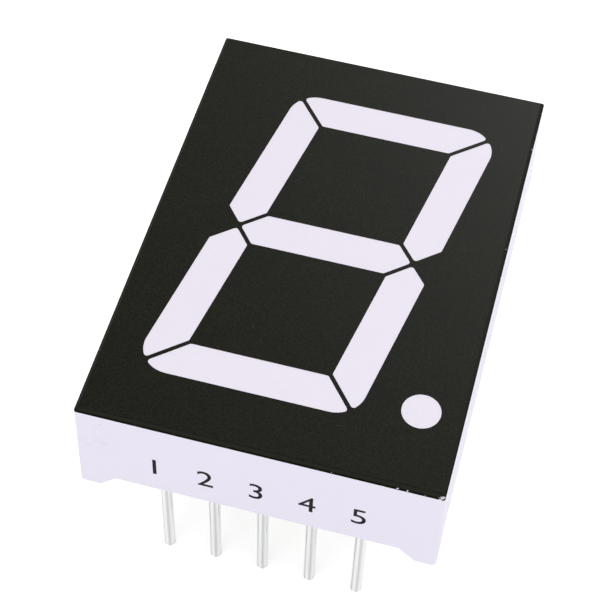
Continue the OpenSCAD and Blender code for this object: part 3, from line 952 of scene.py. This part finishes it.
class DISPLAY_OT_set_stage(Operator):
    """Set the pale floor, the lamps and the camera"""

    bl_idname = "display.set_stage"
    bl_label = "Set the Stage"

    def execute(self, context):
        settings = context.scene.display_stage
        self.lay_floor(settings)
        self.light_sky(settings)
        self.hang_lamp("key_lamp", settings.key_power, settings.key_size, settings.key_place)
        sheen = self.hang_lamp(
            "sheen_lamp", settings.sheen_power, settings.sheen_size, settings.sheen_place)
        sheen.visible_diffuse = False
        fill = self.hang_lamp(
            "fill_lamp", settings.fill_power, settings.fill_size, settings.fill_place)
        fill.visible_glossy = False
        self.place_camera(settings)
        context.scene.view_settings.view_transform = "Standard"
        return {"FINISHED"}

    def lay_floor(self, settings):
        """A pale floor with faint reflections, unseen from below and by rays off a pin's tip."""
        bpy.ops.object.select_all(action="DESELECT")
        gap = 0.01 * MM
        bpy.ops.mesh.primitive_plane_add(
            size=settings.floor_size, location=(0, 0, CAD_BOX[0].z - gap))
        floor = bpy.context.active_object
        floor.name = "floor"
        finish = Finish(
            "floor", Base_Color=(*settings.floor, 1), Roughness=0.12,
            Specular_IOR_Level=settings.floor_mirror, Emission_Color=(1, 1, 1, 1))
        ray = finish.node("ShaderNodeLightPath").outputs
        shown = finish.maths("MAXIMUM", ray["Is Glossy Ray"], ray["Is Transmission Ray"])
        glow = finish.product(ray["Is Camera Ray"], settings.floor_glow)
        gleam = finish.product(shown, settings.floor_gleam)
        finish.surface("Emission Strength", finish.maths("ADD", glow, gleam))
        below = finish.node("ShaderNodeNewGeometry").outputs["Backfacing"]
        near = 0.1 * MM
        touching = finish.maths("LESS_THAN", ray["Ray Length"], near)
        unseen_from_below = finish.product(below, ray["Is Camera Ray"])
        unseen_off_tips = finish.product(touching, ray["Is Glossy Ray"])
        unseen = finish.maths("MAXIMUM", unseen_from_below, unseen_off_tips)
        mix = finish.node("ShaderNodeMixShader", Fac=unseen)
        clear = finish.node("ShaderNodeBsdfTransparent").outputs["BSDF"]
        finish.feed(mix.inputs[1], finish.shader.outputs["BSDF"])
        finish.feed(mix.inputs[2], clear)
        finish.feed(finish.tree.nodes["Material Output"].inputs["Surface"], mix.outputs["Shader"])
        floor.data.materials.append(finish.material)

    def light_sky(self, settings):
        """Even light from all round, seen as white."""
        world = bpy.data.worlds.new("studio")
        bpy.context.scene.world = world
        world.use_nodes = True
        sky = Nodes(world.node_tree)
        ray = sky.node("ShaderNodeLightPath").outputs
        shown = sky.maths("MAXIMUM", ray["Is Glossy Ray"], ray["Is Transmission Ray"])
        seen = sky.maths("MAXIMUM", ray["Is Camera Ray"], shown)
        background = sky.tree.nodes["Background"]
        sky.feed(background.inputs["Color"], (1, 1, 1, 1))
        sky.feed(background.inputs["Strength"], sky.ramp(seen, 0, 1, settings.sky, 1))

    def hang_lamp(self, name, power, size, place):
        """A square soft lamp that faces the display."""
        place = Vector(place)
        bpy.ops.object.select_all(action="DESELECT")
        bpy.ops.object.light_add(type="AREA", location=place)
        lamp = bpy.context.active_object
        lamp.name = name
        lamp.data.shape = "SQUARE"
        lamp.data.size = size
        lamp.data.energy = power
        aim = (CAD_BOX[0] + CAD_BOX[1]) / 2 - place
        lamp.rotation_euler = aim.to_track_quat("-Z", "Y").to_euler()
        return lamp

    def place_camera(self, settings):
        """The camera on its circle round the target, turned by its roll."""
        azimuth, elevation = settings.azimuth, settings.elevation
        level = math.cos(elevation)
        back = Vector((math.sin(azimuth) * level, -math.cos(azimuth) * level, math.sin(elevation)))
        bpy.ops.object.select_all(action="DESELECT")
        bpy.ops.object.camera_add(location=Vector(settings.target) + settings.distance * back)
        camera = bpy.context.active_object
        camera.name = "camera"
        aim = (-back).to_track_quat("-Z", "Y").to_matrix()
        camera.rotation_euler = (aim @ Matrix.Rotation(settings.roll, 3, "Z")).to_euler()
        camera.data.lens = settings.lens
        camera.data.clip_start = 0.01
        bpy.context.scene.camera = camera


OPERATORS = (
    DISPLAY_OT_mould_case,
    DISPLAY_OT_coat_face,
    DISPLAY_OT_fill_windows,
    DISPLAY_OT_print_numbers,
    DISPLAY_OT_draw_pins,
    DISPLAY_OT_flow_solder,
    DISPLAY_OT_pour_resin,
    DISPLAY_OT_finish_board,
    DISPLAY_OT_set_stage,
)


class DISPLAY_PT_dressing(Panel):
    """The settings and the steps of the display"""

    bl_label = "Seven Segment Display"
    bl_idname = "DISPLAY_PT_dressing"
    bl_space_type = "VIEW_3D"
    bl_region_type = "UI"
    bl_category = "Display"

    def draw(self, context):
        for operator in OPERATORS:
            self.layout.operator(operator.bl_idname)
        for name, group in SETTINGS.items():
            box = self.layout.box()
            box.label(text=name.replace("_", " ").capitalize())
            for prop in group.__annotations__:
                box.prop(getattr(context.scene, name), prop)


CLASSES = (*SETTINGS.values(), *OPERATORS, DISPLAY_PT_dressing)


def register():
    for cls in CLASSES:
        bpy.utils.register_class(cls)
    for name, group in SETTINGS.items():
        setattr(bpy.types.Scene, name, PointerProperty(type=group))


def unregister():
    for name in SETTINGS:
        delattr(bpy.types.Scene, name)
    for cls in reversed(CLASSES):
        bpy.utils.unregister_class(cls)


def main():
    """Runs every step in order."""
    register()
    bpy.ops.display.mould_case()
    bpy.ops.display.coat_face()
    bpy.ops.display.fill_windows()
    bpy.ops.display.print_numbers()
    bpy.ops.display.draw_pins()
    bpy.ops.display.flow_solder()
    bpy.ops.display.pour_resin()
    bpy.ops.display.finish_board()
    bpy.ops.display.set_stage()


if __name__ == "__main__":
    main()
